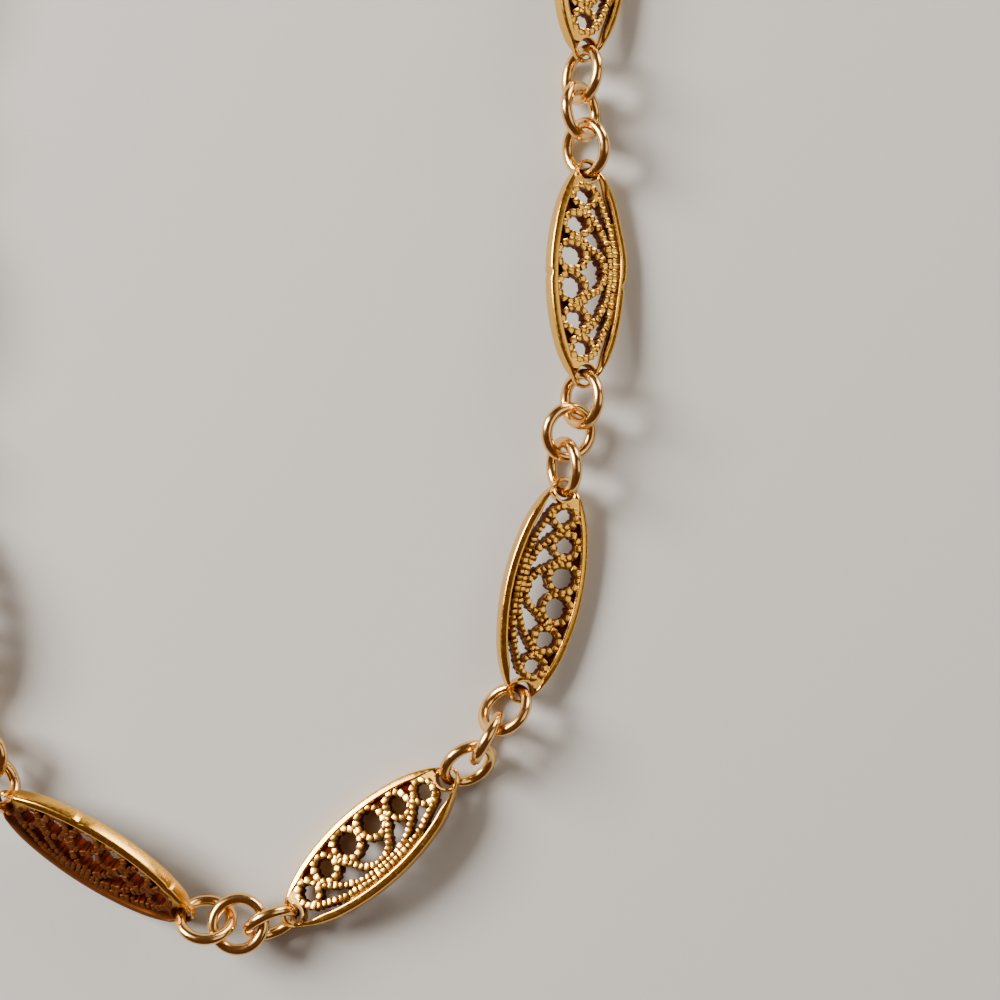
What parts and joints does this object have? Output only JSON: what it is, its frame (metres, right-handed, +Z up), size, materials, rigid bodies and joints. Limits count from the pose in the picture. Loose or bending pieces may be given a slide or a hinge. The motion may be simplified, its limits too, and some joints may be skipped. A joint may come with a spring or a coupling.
{
  "type": "filigree link chain necklace",
  "caption": "Closed chain necklace of pierced pointed oval filigree links joined by round jump rings, with a bolt ring clasp, laid flat as a loop.",
  "frame": {"origin": "centre of the loop's bounding box, on the surface that it lies on", "axes": "+Z up from the surface, +Y from the bottom of the loop to the clasp, +X to the right as seen from above"},
  "size_m": [0.0636, 0.186, 0.0053],
  "materials": {
    "filigree": "polished gold tone, dark in the recesses",
    "jump_rings": "polished gold tone",
    "clasp": "polished gold tone"
  },
  "bodies": {
    "root": {"plaque_01": "filigree", "plaque_02": "filigree", "plaque_03": "filigree", "plaque_04": "filigree", "plaque_05": "filigree", "plaque_06": "filigree", "plaque_07": "filigree", "plaque_08": "filigree", "plaque_09": "filigree", "plaque_10": "filigree", "plaque_11": "filigree", "plaque_12": "filigree", "plaque_13": "filigree", "plaque_14": "filigree", "plaque_15": "filigree", "plaque_16": "filigree", "rings_01": "jump_rings", "rings_02": "jump_rings", "rings_03": "jump_rings", "rings_04": "jump_rings", "rings_05": "jump_rings", "rings_06": "jump_rings", "rings_07": "jump_rings", "rings_08": "jump_rings", "rings_09": "jump_rings", "rings_10": "jump_rings", "rings_11": "jump_rings", "rings_12": "jump_rings", "rings_13": "jump_rings", "rings_14": "jump_rings", "rings_15": "jump_rings", "clasp": "clasp", "clasp_rings": "jump_rings"}
  },
  "joints": []
}
